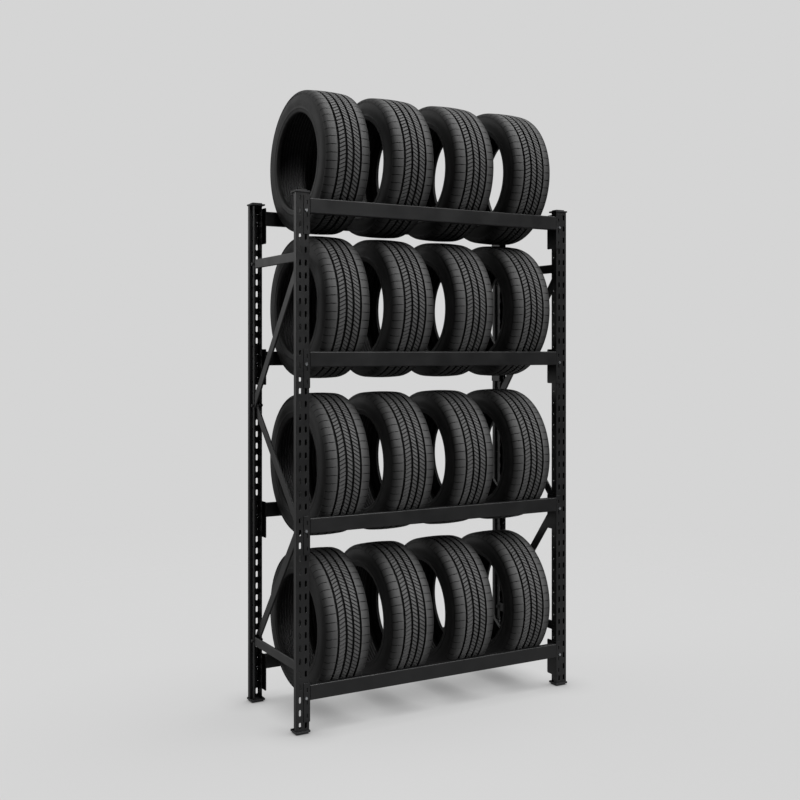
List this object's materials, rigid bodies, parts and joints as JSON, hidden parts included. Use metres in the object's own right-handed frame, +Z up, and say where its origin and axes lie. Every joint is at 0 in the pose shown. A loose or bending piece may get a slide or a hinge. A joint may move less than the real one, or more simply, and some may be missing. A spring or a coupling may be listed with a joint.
{
  "type": "tyre storage rack",
  "caption": "Free-standing black steel rack of slotted posts, braced end frames and pairs of hook-in beams, stocked with car tyres that lie across the beams and can be turned.",
  "frame": {"origin": "on the floor, under the middle of the rack", "axes": "+X along the beams to the right as seen from the front, +Y from the front to the rear, +Z up"},
  "size_m": [1.327, 0.59, 2.5679],
  "materials": {
    "post_paint": "black powder coat, satin with a fine texture",
    "black_plastic": "matt moulded plastic",
    "zinc_steel": "bright zinc plate",
    "black_steel": "black oxide, oiled",
    "tyre_rubber": "matt rubber, a little greyer on the tread"
  },
  "bodies": {
    "rack": {"front_left_post": "post_paint", "front_right_post": "post_paint", "rear_left_post": "post_paint", "rear_right_post": "post_paint", "front_left_top_cap": "black_plastic", "front_right_top_cap": "black_plastic", "rear_left_top_cap": "black_plastic", "rear_right_top_cap": "black_plastic", "front_left_foot": "black_plastic", "front_right_foot": "black_plastic", "rear_left_foot": "black_plastic", "rear_right_foot": "black_plastic", "front_beam_1": "post_paint", "rear_beam_1": "post_paint", "front_beam_2": "post_paint", "rear_beam_2": "post_paint", "front_beam_3": "post_paint", "rear_beam_3": "post_paint", "front_beam_4": "post_paint", "rear_beam_4": "post_paint", "front_connectors_1": "post_paint", "rear_connectors_1": "post_paint", "front_connectors_2": "post_paint", "rear_connectors_2": "post_paint", "front_connectors_3": "post_paint", "rear_connectors_3": "post_paint", "front_connectors_4": "post_paint", "rear_connectors_4": "post_paint", "left_top_brace": "post_paint", "left_upper_diagonal": "post_paint", "left_middle_diagonal": "post_paint", "left_lower_diagonal": "post_paint", "left_bottom_brace": "post_paint", "right_top_brace": "post_paint", "right_upper_diagonal": "post_paint", "right_middle_diagonal": "post_paint", "right_lower_diagonal": "post_paint", "right_bottom_brace": "post_paint", "locking_bolts": "zinc_steel", "locking_nuts": "black_steel", "brace_bolts": "black_steel", "brace_nuts": "black_steel", "brace_spacers": "black_steel"},
    "tyre_1_1": {"tyre_1_1": "tyre_rubber"},
    "tyre_1_2": {"tyre_1_2": "tyre_rubber"},
    "tyre_1_3": {"tyre_1_3": "tyre_rubber"},
    "tyre_1_4": {"tyre_1_4": "tyre_rubber"},
    "tyre_2_1": {"tyre_2_1": "tyre_rubber"},
    "tyre_2_2": {"tyre_2_2": "tyre_rubber"},
    "tyre_2_3": {"tyre_2_3": "tyre_rubber"},
    "tyre_2_4": {"tyre_2_4": "tyre_rubber"},
    "tyre_3_1": {"tyre_3_1": "tyre_rubber"},
    "tyre_3_2": {"tyre_3_2": "tyre_rubber"},
    "tyre_3_3": {"tyre_3_3": "tyre_rubber"},
    "tyre_3_4": {"tyre_3_4": "tyre_rubber"},
    "tyre_4_1": {"tyre_4_1": "tyre_rubber"},
    "tyre_4_2": {"tyre_4_2": "tyre_rubber"},
    "tyre_4_3": {"tyre_4_3": "tyre_rubber"},
    "tyre_4_4": {"tyre_4_4": "tyre_rubber"}
  },
  "joints": [
    {"name": "tyre_1_1_turn", "type": "hinge", "parent": "rack", "child": "tyre_1_1", "pos_m": [-0.4485, 0, 0.37302], "axis": [1, 0, 0], "continuous": true},
    {"name": "tyre_1_2_turn", "type": "hinge", "parent": "rack", "child": "tyre_1_2", "pos_m": [-0.1495, 0, 0.37302], "axis": [1, 0, 0], "continuous": true},
    {"name": "tyre_1_3_turn", "type": "hinge", "parent": "rack", "child": "tyre_1_3", "pos_m": [0.1495, 0, 0.37302], "axis": [1, 0, 0], "continuous": true},
    {"name": "tyre_1_4_turn", "type": "hinge", "parent": "rack", "child": "tyre_1_4", "pos_m": [0.4485, 0, 0.37302], "axis": [1, 0, 0], "continuous": true},
    {"name": "tyre_2_1_turn", "type": "hinge", "parent": "rack", "child": "tyre_2_1", "pos_m": [-0.4485, 0, 1.02302], "axis": [1, 0, 0], "continuous": true},
    {"name": "tyre_2_2_turn", "type": "hinge", "parent": "rack", "child": "tyre_2_2", "pos_m": [-0.1495, 0, 1.02302], "axis": [1, 0, 0], "continuous": true},
    {"name": "tyre_2_3_turn", "type": "hinge", "parent": "rack", "child": "tyre_2_3", "pos_m": [0.1495, 0, 1.02302], "axis": [1, 0, 0], "continuous": true},
    {"name": "tyre_2_4_turn", "type": "hinge", "parent": "rack", "child": "tyre_2_4", "pos_m": [0.4485, 0, 1.02302], "axis": [1, 0, 0], "continuous": true},
    {"name": "tyre_3_1_turn", "type": "hinge", "parent": "rack", "child": "tyre_3_1", "pos_m": [-0.4485, 0, 1.67302], "axis": [1, 0, 0], "continuous": true},
    {"name": "tyre_3_2_turn", "type": "hinge", "parent": "rack", "child": "tyre_3_2", "pos_m": [-0.1495, 0, 1.67302], "axis": [1, 0, 0], "continuous": true},
    {"name": "tyre_3_3_turn", "type": "hinge", "parent": "rack", "child": "tyre_3_3", "pos_m": [0.1495, 0, 1.67302], "axis": [1, 0, 0], "continuous": true},
    {"name": "tyre_3_4_turn", "type": "hinge", "parent": "rack", "child": "tyre_3_4", "pos_m": [0.4485, 0, 1.67302], "axis": [1, 0, 0], "continuous": true},
    {"name": "tyre_4_1_turn", "type": "hinge", "parent": "rack", "child": "tyre_4_1", "pos_m": [-0.4485, 0, 2.27302], "axis": [1, 0, 0], "continuous": true},
    {"name": "tyre_4_2_turn", "type": "hinge", "parent": "rack", "child": "tyre_4_2", "pos_m": [-0.1495, 0, 2.27302], "axis": [1, 0, 0], "continuous": true},
    {"name": "tyre_4_3_turn", "type": "hinge", "parent": "rack", "child": "tyre_4_3", "pos_m": [0.1495, 0, 2.27302], "axis": [1, 0, 0], "continuous": true},
    {"name": "tyre_4_4_turn", "type": "hinge", "parent": "rack", "child": "tyre_4_4", "pos_m": [0.4485, 0, 2.27302], "axis": [1, 0, 0], "continuous": true}
  ]
}
